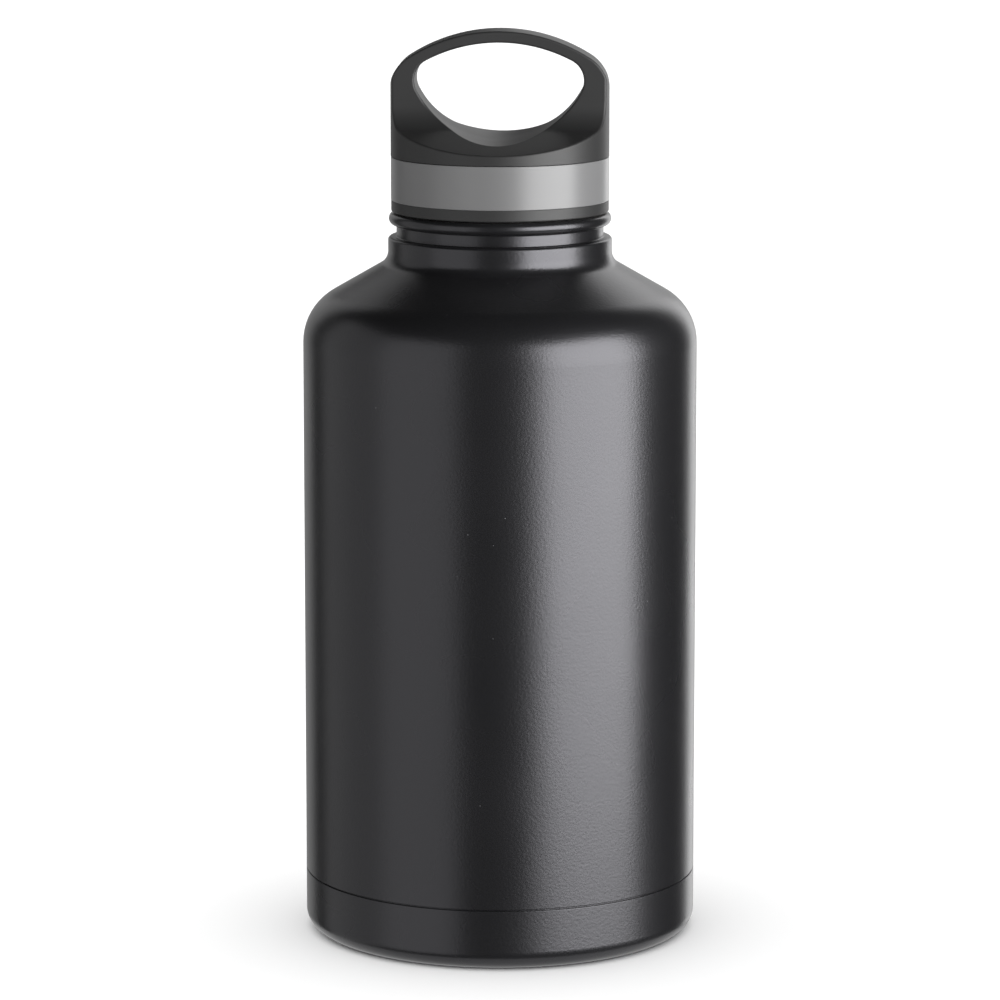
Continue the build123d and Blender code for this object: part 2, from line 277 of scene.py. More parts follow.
@dataclass(frozen=True)
class ScrewThread:
    """Right-hand screw thread that starts on +X.

    Args:
        start_z: Height of its centre line at its start.
        turns: Number of turns.
        height: Height of its crest over the wall.
        lead: Rise in one turn.
        root_half: Half its width at the wall.
        crest_half: Half its width at the crest.
        fade: Length of each faded end, in turns.
    """

    start_z: float
    turns: float
    height: float = 0.00145
    lead: float = 0.005
    root_half: float = 0.00145
    crest_half: float = 0.00085
    fade: float = 0.06

    def rise(self, angle: np.ndarray, z: np.ndarray) -> np.ndarray:
        """Height of the thread over its wall.

        The nearest lap is the rounded number of leads between the point and the helix at its
        angle. The height eases down the flank with the distance to that lap's centre line,
        and towards both ends with the turns left to them.

        Args:
            angle: Angles round the axis.
            z: Heights.

        Returns:
            The height at each point.
        """
        turned = angle / (2 * np.pi)
        lap = np.round((z - self.start_z) / self.lead - turned)
        along = lap + turned
        off = np.abs(z - self.start_z - self.lead * along)
        flank = smooth_step((self.root_half - off) / (self.root_half - self.crest_half))
        ends = smooth_step(np.minimum(along, self.turns - along) / self.fade)
        return self.height * flank * ends


# ---- shader node groups ----


class Shader:
    """Adds nodes to one tree from left to right.

    Args:
        tree: The material's or group's node tree.
    """

    def __init__(self, tree: bpy.types.NodeTree) -> None:
        """Start with an empty row of nodes."""
        self.tree = tree
        self.column = 0

    def add(self, kind: str, **values: object) -> bpy.types.Node:
        """Add a node and set its properties.

        Args:
            kind: The node's type.
            values: Properties of the node.

        Returns:
            The new node.
        """
        node = self.tree.nodes.new(kind)
        node.location = (self.column * 190.0, 0.0)
        self.column += 1
        for key, value in values.items():
            setattr(node, key, value)
        return node

    def feed(
        self, source: bpy.types.NodeSocket | float | tuple, socket: bpy.types.NodeSocket
    ) -> None:
        """Link a socket to another one, or set its value where the source is a number."""
        if isinstance(source, bpy.types.NodeSocket):
            self.tree.links.new(source, socket)
        else:
            socket.default_value = source

    def maths(self, operation: str, *terms: bpy.types.NodeSocket | float) -> bpy.types.NodeSocket:
        """Result of a Math node with the given terms."""
        node = self.add("ShaderNodeMath", operation=operation)
        for term, socket in zip(terms, node.inputs):
            self.feed(term, socket)
        return node.outputs[0]

    def spread(
        self, value: bpy.types.NodeSocket, low: float, high: float, to_low: float, to_high: float
    ) -> bpy.types.NodeSocket:
        """Value carried from one range to another and held to it."""
        node = self.add("ShaderNodeMapRange")
        for source, socket in zip((value, low, high, to_low, to_high), node.inputs):
            self.feed(source, socket)
        return node.outputs[0]

    def blend(
        self, mask: bpy.types.NodeSocket, first: tuple, second: tuple
    ) -> bpy.types.NodeSocket:
        """Colour between first and second by a mask."""
        node = self.add("ShaderNodeMix", data_type="RGBA")
        self.feed(mask, node.inputs[0])
        self.feed(first, node.inputs[6])
        self.feed(second, node.inputs[7])
        return node.outputs[2]

    def noise(
        self, vector: bpy.types.NodeSocket, scale: float | bpy.types.NodeSocket, detail: float
    ) -> bpy.types.NodeSocket:
        """Noise value between 0 and 1."""
        node = self.add("ShaderNodeTexNoise")
        self.feed(vector, node.inputs["Vector"])
        self.feed(scale, node.inputs["Scale"])
        self.feed(detail, node.inputs["Detail"])
        return node.outputs[0]


class Group(Enum):
    """Effects that several finishes share."""

    GRAIN = "fine_grain"
    MOTTLE = "slow_mottle"
    DUST = "dust_specks"
    LATHE = "lathe_brush"


def new_group(
    group: Group, inputs: dict[str, float], outputs: Sequence[str]
) -> tuple[Shader, dict, dict]:
    """Start a shader node group on a position vector.

    Args:
        group: Which effect it holds.
        inputs: Names and defaults of its number inputs.
        outputs: Names of its number outputs.

    Returns:
        Its shader builder, its input sockets by name and its output sockets by name.
    """
    tree = bpy.data.node_groups.new(group.value, "ShaderNodeTree")
    tree.interface.new_socket("Position", in_out="INPUT", socket_type="NodeSocketVector")
    for name, default in inputs.items():
        socket = tree.interface.new_socket(name, in_out="INPUT", socket_type="NodeSocketFloat")
        socket.default_value = default
    for name in outputs:
        tree.interface.new_socket(name, in_out="OUTPUT", socket_type="NodeSocketFloat")
    shader = Shader(tree)
    entry = shader.add("NodeGroupInput")
    leave = shader.add("NodeGroupOutput")
    leave.location = (2400.0, 0.0)
    return shader, dict(entry.outputs.items()), dict(leave.inputs.items())


def build_grain() -> None:
    """Fine grain: two octaves apart of noise, the coarse one weighted, the fine one added."""
    shader, entry, leave = new_group(Group.GRAIN, {"Size": 0.0008, "Fine": 0.4}, ("Height",))
    scale = shader.maths("DIVIDE", 1.0, entry["Size"])
    finer = shader.maths("MULTIPLY", scale, 3.1)
    coarse = shader.noise(entry["Position"], scale, 1.0)
    fine = shader.noise(entry["Position"], finer, 2.0)
    shader.feed(shader.maths("MULTIPLY_ADD", fine, entry["Fine"], coarse), leave["Height"])


def build_mottle() -> None:
    """Slow mottle: a soft cloud from 0 to 1, as left by handling and an uneven coat."""
    shader, entry, leave = new_group(Group.MOTTLE, {"Size": 0.03}, ("Mask",))
    scale = shader.maths("DIVIDE", 1.0, entry["Size"])
    cloud = shader.noise(entry["Position"], scale, 1.0)
    shader.feed(shader.spread(cloud, 0.2, 0.8, 0.0, 1.0), leave["Mask"])


def build_dust() -> None:
    """Dust specks: small discs, each in its own cell, kept in a share of the cells."""
    inputs = {"Spacing": 0.004, "Size": 0.06, "Share": 0.3}
    shader, entry, leave = new_group(Group.DUST, inputs, ("Mask",))
    scale = shader.maths("DIVIDE", 1.0, entry["Spacing"])
    cells = shader.add("ShaderNodeTexVoronoi")
    shader.feed(entry["Position"], cells.inputs["Vector"])
    shader.feed(scale, cells.inputs["Scale"])
    parts = shader.add("ShaderNodeSeparateColor")
    shader.feed(cells.outputs["Color"], parts.inputs[0])
    reach = shader.maths("MULTIPLY", entry["Size"], parts.outputs[1])
    disc = shader.maths("LESS_THAN", cells.outputs["Distance"], reach)
    kept = shader.maths("LESS_THAN", parts.outputs[0], entry["Share"])
    shader.feed(shader.maths("MULTIPLY", disc, kept), leave["Mask"])


def build_lathe() -> None:
    """Lathe brush: noise that runs long round the axis and short along it and across it."""
    shader, entry, leave = new_group(Group.LATHE, {"Pitch": 0.0003}, ("Height", "Mask"))
    parts = shader.add("ShaderNodeSeparateXYZ")
    shader.feed(entry["Position"], parts.inputs[0])
    x, y, z = parts.outputs
    angle = shader.maths("ARCTAN2", y, x)
    squares = [shader.maths("MULTIPLY", part, part) for part in (x, y)]
    across = shader.maths("SQRT", shader.maths("ADD", *squares))
    turned = shader.add("ShaderNodeCombineXYZ")
    shader.feed(shader.maths("MULTIPLY", angle, 1.5), turned.inputs[0])
    shader.feed(shader.maths("DIVIDE", across, entry["Pitch"]), turned.inputs[1])
    shader.feed(shader.maths("DIVIDE", z, entry["Pitch"]), turned.inputs[2])
    lines = shader.noise(turned.outputs[0], 1.0, 3.0)
    shader.feed(lines, leave["Height"])
    shader.feed(shader.spread(lines, 0.3, 0.7, 0.0, 1.0), leave["Mask"])


def build_groups() -> None:
    """Build every shared node group once."""
    build_grain()
    build_mottle()
    build_dust()
    build_lathe()


# ---- finishes ----

Colour = tuple[float, float, float]

BLACK: Colour = (0.0, 0.0, 0.0)
WHITE: Colour = (1.0, 1.0, 1.0)
DIM: Colour = (0.010, 0.010, 0.010)
RESIN_IOR = 1.5


def rgba(colour: Colour) -> tuple[float, float, float, float]:
    """The colour with full alpha."""
    return (*colour, 1.0)


class Dressing:
    """A material under construction: Object coordinates, a Principled shader and its output.

    Args:
        name: Name of the material.
    """

    def __init__(self, name: str) -> None:
        """Make the material with its first nodes."""
        self.material = bpy.data.materials.new(name)
        self.material.use_nodes = True
        self.material.node_tree.nodes.clear()
        self.shader = Shader(self.material.node_tree)
        self.position = self.shader.add("ShaderNodeTexCoord").outputs["Object"]
        self.principled = self.shader.add("ShaderNodeBsdfPrincipled")
        self.principled.location = (2400.0, 0.0)
        output = self.shader.add("ShaderNodeOutputMaterial")
        output.location = (2700.0, 0.0)
        self.shader.feed(self.principled.outputs[0], output.inputs[0])

    def group(self, group: Group, output: str, **values: float) -> bpy.types.NodeSocket:
        """Place a shared group and give one of its outputs.

        Args:
            group: Which group to place.
            output: Name of the wanted output.
            values: Its number inputs.

        Returns:
            The output socket.
        """
        node = self.shader.add("ShaderNodeGroup", node_tree=bpy.data.node_groups[group.value])
        self.shader.feed(self.position, node.inputs["Position"])
        for key, value in values.items():
            node.inputs[key].default_value = value
        return node.outputs[output]

    def set(self, **values: float | tuple | bpy.types.NodeSocket) -> None:
        """Set or feed the Principled shader's sockets, an underscore standing for a space."""
        for key, value in values.items():
            self.shader.feed(value, self.principled.inputs[key.replace("_", " ")])

    def bump(self, height: bpy.types.NodeSocket, depth: float) -> None:
        """Feed the normal from a height of the given depth in metres."""
        node = self.shader.add("ShaderNodeBump")
        node.inputs["Strength"].default_value = 1.0
        node.inputs["Distance"].default_value = depth
        self.shader.feed(height, node.inputs["Height"])
        self.set(Normal=node.outputs[0])


@dataclass(frozen=True)
class PowderCoat:
    """Black powder coat with a fine grain and a few pale specks.

    Args:
        name: Name of the material.
        colour: Colour of the coat.
        speck: Colour of a speck.
        sheen: Colour of its gloss.
        roughness: Roughness where the coat is smoothest.
        uneven: Roughness added by the mottle.
        cloud: Size of the mottle's clouds.
        grain: Size of the grain.
        depth: Depth of the grain.
        spacing: Size of the cells that may hold a speck.
        size: Radius of the largest speck, in cells.
        share: Share of cells that hold a speck.
    """

    name: str = "black powder coat"
    colour: Colour = (0.0060, 0.0060, 0.0065)
    speck: Colour = (0.10, 0.10, 0.105)
    sheen: Colour = (0.95, 0.94, 1.0)
    roughness: float = 0.26
    uneven: float = 0.04
    cloud: float = 0.035
    grain: float = 0.00085
    depth: float = 0.000031
    spacing: float = 0.0036
    size: float = 0.045
    share: float = 0.22

    def dress(self) -> bpy.types.Material:
        """Build the material.

        Returns:
            The finished material.
        """
        coat = Dressing(self.name)
        dust = coat.group(
            Group.DUST, "Mask", Spacing=self.spacing, Size=self.size, Share=self.share
        )
        mottle = coat.group(Group.MOTTLE, "Mask", Size=self.cloud)
        coat.set(
            Base_Color=coat.shader.blend(dust, rgba(self.colour), rgba(self.speck)),
            Roughness=coat.shader.spread(
                mottle, 0.0, 1.0, self.roughness, self.roughness + self.uneven
            ),
            IOR=RESIN_IOR,
            Specular_Tint=rgba(self.sheen),
        )
        coat.bump(coat.group(Group.GRAIN, "Height", Size=self.grain, Fine=0.5), self.depth)
        return coat.material


@dataclass(frozen=True)
class MouldedPlastic:
    """Satin moulded plastic with the fine texture of its mould.

    Args:
        name: Name of the material.
        colour: Colour of the plastic.
        pale: Colour of a dust speck.
        roughness: Roughness where the surface is smoothest.
        uneven: Roughness added by handling.
        cloud: Size of the handled patches.
        grain: Size of the mould's texture.
        depth: Depth of the texture.
        spacing: Size of the cells that may hold a speck.
        size: Radius of the largest speck, in cells.
        share: Share of cells that hold a speck.
        shine: Strength of the gloss.
    """

    name: str
    colour: Colour
    pale: Colour
    roughness: float
    uneven: float = 0.05
    cloud: float = 0.018
    grain: float = 0.00030
    depth: float = 0.0000020
    spacing: float = 0.003
    size: float = 0.05
    share: float = 0.10
    shine: float = 0.5

    def dress(self) -> bpy.types.Material:
        """Build the material.

        Returns:
            The finished material.
        """
        plastic = Dressing(self.name)
        dust = plastic.group(
            Group.DUST, "Mask", Spacing=self.spacing, Size=self.size, Share=self.share
        )
        mottle = plastic.group(Group.MOTTLE, "Mask", Size=self.cloud)
        plastic.set(
            Base_Color=plastic.shader.blend(dust, rgba(self.colour), rgba(self.pale)),
            Roughness=plastic.shader.spread(
                mottle, 0.0, 1.0, self.roughness, self.roughness + self.uneven
            ),
            Specular_IOR_Level=self.shine,
            IOR=RESIN_IOR,
        )
        plastic.bump(plastic.group(Group.GRAIN, "Height", Size=self.grain, Fine=0.6), self.depth)
        return plastic.material


@dataclass(frozen=True)
class BrushedMetal:
    """Metal with fine lines round the axis, as left by polishing on a lathe, with painted shade
    in their bottoms.

    Args:
        name: Name of the material.
        colour: Colour of the metal.
        groove_shade: Colour of the painted shade in the bottom of the lines.
        roughness: Roughness between the lines.
        uneven: Roughness added by the lines.
        pitch: Distance between the lines.
        depth: Depth of the lines.
    """

    name: str
    colour: Colour
    groove_shade: Colour
    roughness: float = 0.22
    uneven: float = 0.12
    pitch: float = 0.00025
    depth: float = 0.000004

    def dress(self) -> bpy.types.Material:
        """Build the material.

        Returns:
            The finished material.
        """
        metal = Dressing(self.name)
        lines = metal.group(Group.LATHE, "Mask", Pitch=self.pitch)
        metal.set(
            # Where the lines' height is low the colour goes to the darker one: painted shade in
            # the grooves.
            Base_Color=metal.shader.blend(lines, rgba(self.groove_shade), rgba(self.colour)),
            Roughness=metal.shader.spread(
                lines, 0.0, 1.0, self.roughness + self.uneven, self.roughness
            ),
            Metallic=1.0,
        )
        metal.bump(metal.group(Group.LATHE, "Height", Pitch=self.pitch), self.depth)
        return metal.material


@dataclass(frozen=True)
class GrainyStuff:
    """Plain stuff with a cloudy colour and a grain: silicone, foam, pressed powder, braze, foil.

    Args:
        name: Name of the material.
        colour: Colour where it is pale.
        dark: Colour where it is dark.
        roughness: Roughness of the surface.
        grain: Size of the grain.
        depth: Depth of the grain.
        metal: How metallic it is.
        uneven: Roughness added where it is dark.
        grains: Size of the clouds, in grains.
    """

    name: str
    colour: Colour
    dark: Colour
    roughness: float
    grain: float
    depth: float
    metal: float = 0.0
    uneven: float = 0.06
    grains: int = 12

    def dress(self) -> bpy.types.Material:
        """Build the material.

        Returns:
            The finished material.
        """
        stuff = Dressing(self.name)
        cloud = stuff.group(Group.MOTTLE, "Mask", Size=self.grain * self.grains)
        stuff.set(
            Base_Color=stuff.shader.blend(cloud, rgba(self.dark), rgba(self.colour)),
            Roughness=stuff.shader.spread(
                cloud, 0.0, 1.0, self.roughness + self.uneven, self.roughness
            ),
            Metallic=self.metal,
        )
        stuff.bump(stuff.group(Group.GRAIN, "Height", Size=self.grain, Fine=0.5), self.depth)
        return stuff.material


@dataclass(frozen=True)
class Paper:
    """Pale matt paper with a fine grain.

    Args:
        name: Name of the material.
        colour: Colour of the paper.
        roughness: Roughness of the paper.
        grain: Size of the grain.
        depth: Depth of the grain.
    """

    name: str = "white paper"
    colour: Colour = (0.86, 0.86, 0.86)
    roughness: float = 0.9
    grain: float = 0.0015
    depth: float = 0.00002

    def dress(self) -> bpy.types.Material:
        """Build the material.

        Returns:
            The finished material.
        """
        paper = Dressing(self.name)
        paper.set(Base_Color=rgba(self.colour), Roughness=self.roughness)
        paper.bump(paper.group(Group.GRAIN, "Height", Size=self.grain, Fine=0.4), self.depth)
        return paper.material


POWDER_COAT = PowderCoat()
# The second colour is painted shade in the bottoms of the brush lines.
BARE_STEEL = BrushedMetal("brushed steel", (0.62, 0.61, 0.60), (0.50, 0.49, 0.48))
LID_BLACK = MouldedPlastic(
    "black moulded plastic", (0.0165, 0.0165, 0.0166), (0.14, 0.14, 0.14), 0.42, shine=0.28
)
BAND_GREY = MouldedPlastic(
    "grey satin plastic",
    (0.098, 0.098, 0.099),
    (0.20, 0.20, 0.20),
    0.30,
    depth=0.0000012,
    share=0.04,
    shine=0.42,
)
SEAL_SILICONE = GrainyStuff(
    "matt silicone", (0.050, 0.050, 0.052), (0.036, 0.036, 0.038), 0.62, 0.0002, 0.000003
)
LID_FOAM = GrainyStuff(
    "closed-cell foam", (0.80, 0.79, 0.74), (0.68, 0.66, 0.60), 0.85, 0.0012, 0.00008
)
GETTER_POWDER = GrainyStuff(
    "pressed powder", (0.32, 0.32, 0.33), (0.22, 0.22, 0.23), 0.70, 0.0003, 0.00002, 0.6
)
PORT_BRAZE = GrainyStuff(
    "braze", (0.58, 0.44, 0.25), (0.40, 0.30, 0.18), 0.32, 0.0008, 0.00002, 1.0
)
BRIGHT_FOIL = GrainyStuff(
    "bright foil", (0.86, 0.86, 0.87), (0.76, 0.76, 0.77), 0.14, 0.0060, 0.00030, 1.0
)
FLOOR_PAPER = Paper()


# ---- pieces ----


def place(
    mesh: bpy.types.Mesh,
    body: Body,
    slot: Slot,
    finishes: Sequence[bpy.types.Material],
    *nodes: str,
) -> None:
    """Put a finished mesh into the scene, dressed and riding on its body.

    Args:
        mesh: The piece's mesh, in place.
        body: Body that it rides on.
        slot: Material slot that its finish comes from. Not used.
        finishes: Its materials.
        nodes: Nodes of the frame that it stands for.
    """
    piece = bpy.data.objects.new(mesh.name, mesh)
    bpy.context.scene.collection.objects.link(piece)
    for finish in finishes:
        mesh.materials.append(finish)
    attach(piece, body.value)
    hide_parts(*nodes)
    log.info("%s: %d faces, for %s", piece.name, len(mesh.polygons), ", ".join(nodes))


def redress(node: bpy.types.Object, finish: bpy.types.Material) -> None:
    """Give a node of the frame a finish in place of its plain one."""
    node.data.materials.clear()
    node.data.materials.append(finish)
    log.info("%s: dressed in %s", node.name, finish.name)


@dataclass
class Vessel:
    """Double-wall vessel: coated shell and base cup, bare neck and liner, and what is between.

    Args:
        body_r: Outer radius of the coated body.
        wall: Sheet of the outer shell.
        shoulder_z: Top of the straight body.
        shoulder_turn: Radius of the shoulder.
        cone: Slope of the cone above the horizontal.
        collar_r: Radius of the collar.
        collar_turn: Radius of the hollow where the cone meets the collar.
        collar_top: Height of the collar's ledge.
        groove_r: Radius of the neck groove.
        bead_r: Radius of the bead under the lid.
        bead_turn: Radius of the bead's section.
        bead_top: Height of the bead's top.
        bare_edge: How far below the bead's top the bare steel begins.
        neck_r: Radius of the threaded neck.
        neck_top: Height of the neck's top edge.
        cup_top: Height of the base cup's top edge.
        seam: Width of the open seam over the cup.
        cup_turn: Radius of the base edge.
        recess: Depth of the recess under the base.
        foot_r: Inner radius of the ring that the cup stands on.
        tuck: Height of the shell's hidden lower edge.
        thread: Thread on the neck.
    """

    body_r: float = 0.0620
    wall: float = 0.0006
    shoulder_z: float = 0.1885
    shoulder_turn: float = 0.018
    cone: float = math.radians(30)
    collar_r: float = 0.03515
    collar_turn: float = 0.005
    collar_top: float = 0.2217
    groove_r: float = 0.0325
    bead_r: float = 0.0349
    bead_turn: float = 0.00195
    bead_top: float = 0.2294
    bare_edge: float = 0.0002
    neck_r: float = 0.0290
    neck_top: float = 0.2422
    cup_top: float = 0.0192
    seam: float = 0.0004
    cup_turn: float = 0.006
    recess: float = 0.0024
    foot_r: float = 0.0490
    tuck: float = 0.007
    thread: ScrewThread = ScrewThread(start_z=0.2339, turns=1.25)

    def shell_corners(self) -> list[Corner]:
        """Outer side of the shell, from its hidden bottom edge up to the top of the neck.

        The shoulder's corner is where the body's upright meets the cone. The cone's line
        touches the shoulder's arc, so it stands the shoulder's radius away from that centre.

        Returns:
            The corners in order.
        """
        inner_r = self.body_r - self.wall
        corner_z = self.shoulder_z + self.shoulder_turn * math.tan((math.pi / 2 - self.cone) / 2)
        rise = (self.body_r - self.collar_r) * math.tan(self.cone)
        bead_bottom = self.bead_top - 2 * self.bead_turn
        return [
            Corner(inner_r, self.tuck),
            Corner(inner_r, self.cup_top + self.seam, 0.00005),
            Corner(self.body_r, self.cup_top + self.seam, 0.00022, 0.004),
            Corner(self.body_r, corner_z, self.shoulder_turn),
            Corner(self.collar_r, corner_z + rise, self.collar_turn),
            Corner(self.collar_r, self.collar_top, 0.0010),
            Corner(self.groove_r, self.collar_top, 0.0004),
            Corner(self.groove_r, bead_bottom, 0.0004),
            Corner(self.bead_r, bead_bottom, self.bead_turn),
            Corner(self.bead_r, self.bead_top, self.bead_turn),
            Corner(self.neck_r, self.bead_top, 0.0005, 0.00025),
            Corner(self.neck_r, self.neck_top, 0.0001),
        ]

    def shell(self) -> bpy.types.Mesh:
        """Mesh of the coated shell, its neck with the thread in bare steel.

        Returns:
            The mesh. Faces over the bead take the second material.
        """
        outer = self.shell_corners()
        path = outline(outer + moved_in(outer, self.wall), closed=True)

        def rise(angle: np.ndarray, r: np.ndarray, z: np.ndarray) -> np.ndarray:
            """The thread's height on the outside of the neck alone."""
            on_neck = (np.abs(r - self.neck_r) < ON_WALL) & (z > self.bead_top)
            return np.where(on_neck, self.thread.rise(angle, z), 0.0)

        mesh = turned_mesh("coated_shell", path, closed=True, rise=rise)
        centres = np.empty(len(mesh.polygons) * 3, np.float32)
        mesh.polygons.foreach_get("center", centres)
        bare = centres.reshape(-1, 3)[:, 2] > self.bead_top - self.bare_edge
        mesh.polygons.foreach_set("material_index", bare.astype(np.int32))
        return mesh

    def cup(self) -> bpy.types.Mesh:
        """Mesh of the base cup, with the ring that it stands on and its recess."""
        recess, foot, sheet = self.recess, self.foot_r, self.wall
        inner_r = self.body_r - sheet
        path = outline(
            [
                Corner(0.0, recess),
                Corner(foot - 0.003, recess, 0.0015),
                Corner(foot, 0.0, 0.0015),
                Corner(self.body_r, 0.0, self.cup_turn),
                Corner(self.body_r, self.cup_top, 0.00022),
                Corner(inner_r, self.cup_top, 0.00005),
                Corner(inner_r, sheet, self.cup_turn - sheet),
                Corner(foot + 0.0003, sheet, 0.0015),
                Corner(foot - 0.0027, recess + sheet, 0.0015),
                Corner(0.0, recess + sheet),
            ],
            closed=False,
        )
        return turned_mesh("base_cup_coated", path, closed=False)

    def build(self, nodes: dict[str, bpy.types.Object]) -> None:
        """Build and dress the vessel's pieces.

        Args:
            nodes: The frame's nodes by name.
        """
        coat, steel = POWDER_COAT.dress(), BARE_STEEL.dress()
        place(self.shell(), Body.VESSEL, Slot.POWDER_COAT, [coat, steel], "outer_shell")
        place(self.cup(), Body.VESSEL, Slot.POWDER_COAT, [coat], "base_cup")
        for name in ("liner_tube", "liner_bottom", "vacuum_bottom", "getter_clip"):
            redress(nodes[name], steel)
        redress(nodes["port_seal"], PORT_BRAZE.dress())
        redress(nodes["getter_pellet"], GETTER_POWDER.dress())
        redress(nodes["foil_wrap"], BRIGHT_FOIL.dress())


@dataclass
class Seal:
    """Flat silicone ring between the vessel's lip and the lid.

    Args:
        inner_r: Inner radius of the ring.
        outer_r: Outer radius of the ring.
        turn: Rounding of its edges.
    """

    inner_r: float = 0.0260
    outer_r: float = 0.0305
    turn: float = 0.0004

    def build(self) -> None:
        """Build and dress the ring between the heights of its node."""
        low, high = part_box("gasket")
        path = outline(
            [
                Corner(self.inner_r, low.z, self.turn),
                Corner(self.outer_r, low.z, self.turn),
                Corner(self.outer_r, high.z, self.turn),
                Corner(self.inner_r, high.z, self.turn),
            ],
            closed=True,
        )
        mesh = turned_mesh("seal_ring", path, closed=True, around=192)
        place(mesh, Body.SEAL, Slot.SILICONE, [SEAL_SILICONE.dress()], "gasket")


@dataclass
class Lid:
    """Screw lid: threaded core, accent band, and the cap with its loop handle.

    Args:
        skirt_r: Radius of the core's skirt under the band.
        bottom: Height of the skirt's lower edge.
        bore_r: Inside of the skirt.
        seat: Height of the gasket's seat.
        plug_r: Radius of the plug that hangs into the mouth.
        plug_bottom: Height of the plug's underside.
        plug_wall: Wall of the plug.
        core_r: Radius of the core behind the band.
        core_top: Height of the core's top.
        band_r: Radius of the band.
        band_bottom: Height of the band's lower edge.
        band_top: Height of its upper edge.
        band_inner_r: Inside of the band.
        thread: Thread on the skirt's inside.
    """

    skirt_r: float = 0.03415
    bottom: float = 0.2297
    bore_r: float = 0.0309
    seat: float = 0.2451
    plug_r: float = 0.0256
    plug_bottom: float = 0.2340
    plug_wall: float = 0.0018
    core_r: float = 0.0330
    core_top: float = 0.24705
    band_r: float = 0.0342
    band_bottom: float = 0.2333
    band_top: float = 0.24685
    band_inner_r: float = 0.03315
    thread: ScrewThread = ScrewThread(start_z=0.2314, turns=1.5)

    def core(self) -> bpy.types.Mesh:
        """Mesh of the threaded core, with its skirt, seat and hollow plug."""
        hollow_r, hollow_z = self.plug_r - self.plug_wall, self.plug_bottom + self.plug_wall
        path = outline(
            [
                Corner(0.0, self.plug_bottom),
                Corner(self.plug_r, self.plug_bottom, 0.0012),
                Corner(self.plug_r, self.seat, 0.0003),
                Corner(self.bore_r, self.seat, 0.0003, 0.00025),
                Corner(self.bore_r, self.bottom, 0.0003),
                Corner(self.skirt_r, self.bottom, 0.0005),
                Corner(self.skirt_r, self.band_bottom, 0.00015),
                Corner(self.core_r, self.band_bottom, 0.0001),
                Corner(self.core_r, self.core_top, 0.0002),
                Corner(hollow_r, self.core_top, 0.0002),
                Corner(hollow_r, hollow_z, 0.0010),
                Corner(0.0, hollow_z),
            ],
            closed=False,
        )

        def rise(angle: np.ndarray, r: np.ndarray, z: np.ndarray) -> np.ndarray:
            """The thread's height, inwards, on the skirt's inside alone."""
            inside = (z > self.bottom) & (z < self.seat)
            in_bore = (np.abs(r - self.bore_r) < ON_WALL) & inside
            return np.where(in_bore, -self.thread.rise(angle, z), 0.0)

        return turned_mesh("lid_core", path, closed=False, rise=rise)

    def band(self) -> bpy.types.Mesh:
        """Mesh of the accent band, its outer edges rounded."""
        path = outline(
            [
                Corner(self.band_inner_r, self.band_bottom, 0.0001),
                Corner(self.band_r, self.band_bottom, 0.00025),
                Corner(self.band_r, self.band_top, 0.00025),
                Corner(self.band_inner_r, self.band_top, 0.0001),
            ],
            closed=True,
        )
        return turned_mesh("lid_band", path, closed=True)

    def build(self, nodes: dict[str, bpy.types.Object]) -> None:
        """Build and dress the lid's pieces.

        Args:
            nodes: The frame's nodes by name.
        """
        black = LID_BLACK.dress()
        place(self.core(), Body.LID, Slot.LID_PLASTIC, [black], "threaded_core")
        place(self.band(), Body.LID, Slot.BAND_GREY, [BAND_GREY.dress()], "accent_band")
        redress(nodes["handle_cap"], black)
        redress(nodes["lid_insulation"], LID_FOAM.dress())


# ---- studio ----

SENSOR = 36.0
CLIP = (0.05, 50.0)
FLOOR_REACH = 6.0
CARD_SIDES = 96
CARD_DEPTH = 0.0002


@dataclass(frozen=True)
class Panel:
    """One soft light that stands upright and faces the axis.

    Args:
        name: What it is.
        start: Where it starts, in degrees round from the camera to the camera's right.
        end: Where it ends.
        low: Height of its lower edge.
        high: Height of its upper edge.
        glow: Brightness of its face.
    """

    name: str
    start: float
    end: float
    low: float
    high: float
    glow: float


PANELS = (
    Panel("right_softbox_edge", 18, 26, -0.38, 1.16, 2.9),
    Panel("right_softbox_low", 26, 84, -0.38, -0.14, 6.6),
    Panel("right_softbox", 26, 84, -0.14, 1.20, 9.4),
    Panel("right_softbox_end", 84, 92, -0.38, 0.92, 0.9),
    Panel("left_softbox", -72, -24, -0.90, 1.20, 1.10),
    Panel("left_side", -124, -72, -0.90, 1.20, 0.55),
    Panel("right_rim", 144, 161, -0.80, 1.50, 1.95),
    Panel("right_back", 161, 180, 0.60, 1.50, 1.2),
    Panel("right_back_low", 161, 180, -0.80, 0.60, 0.7),
    Panel("left_rim", -161, -141, -0.80, 0.40, 0.5),
    Panel("left_rim_top", -161, -141, 0.40, 1.50, 0.6),
    Panel("left_back", -180, -161, -0.80, 0.50, 0.5),
)


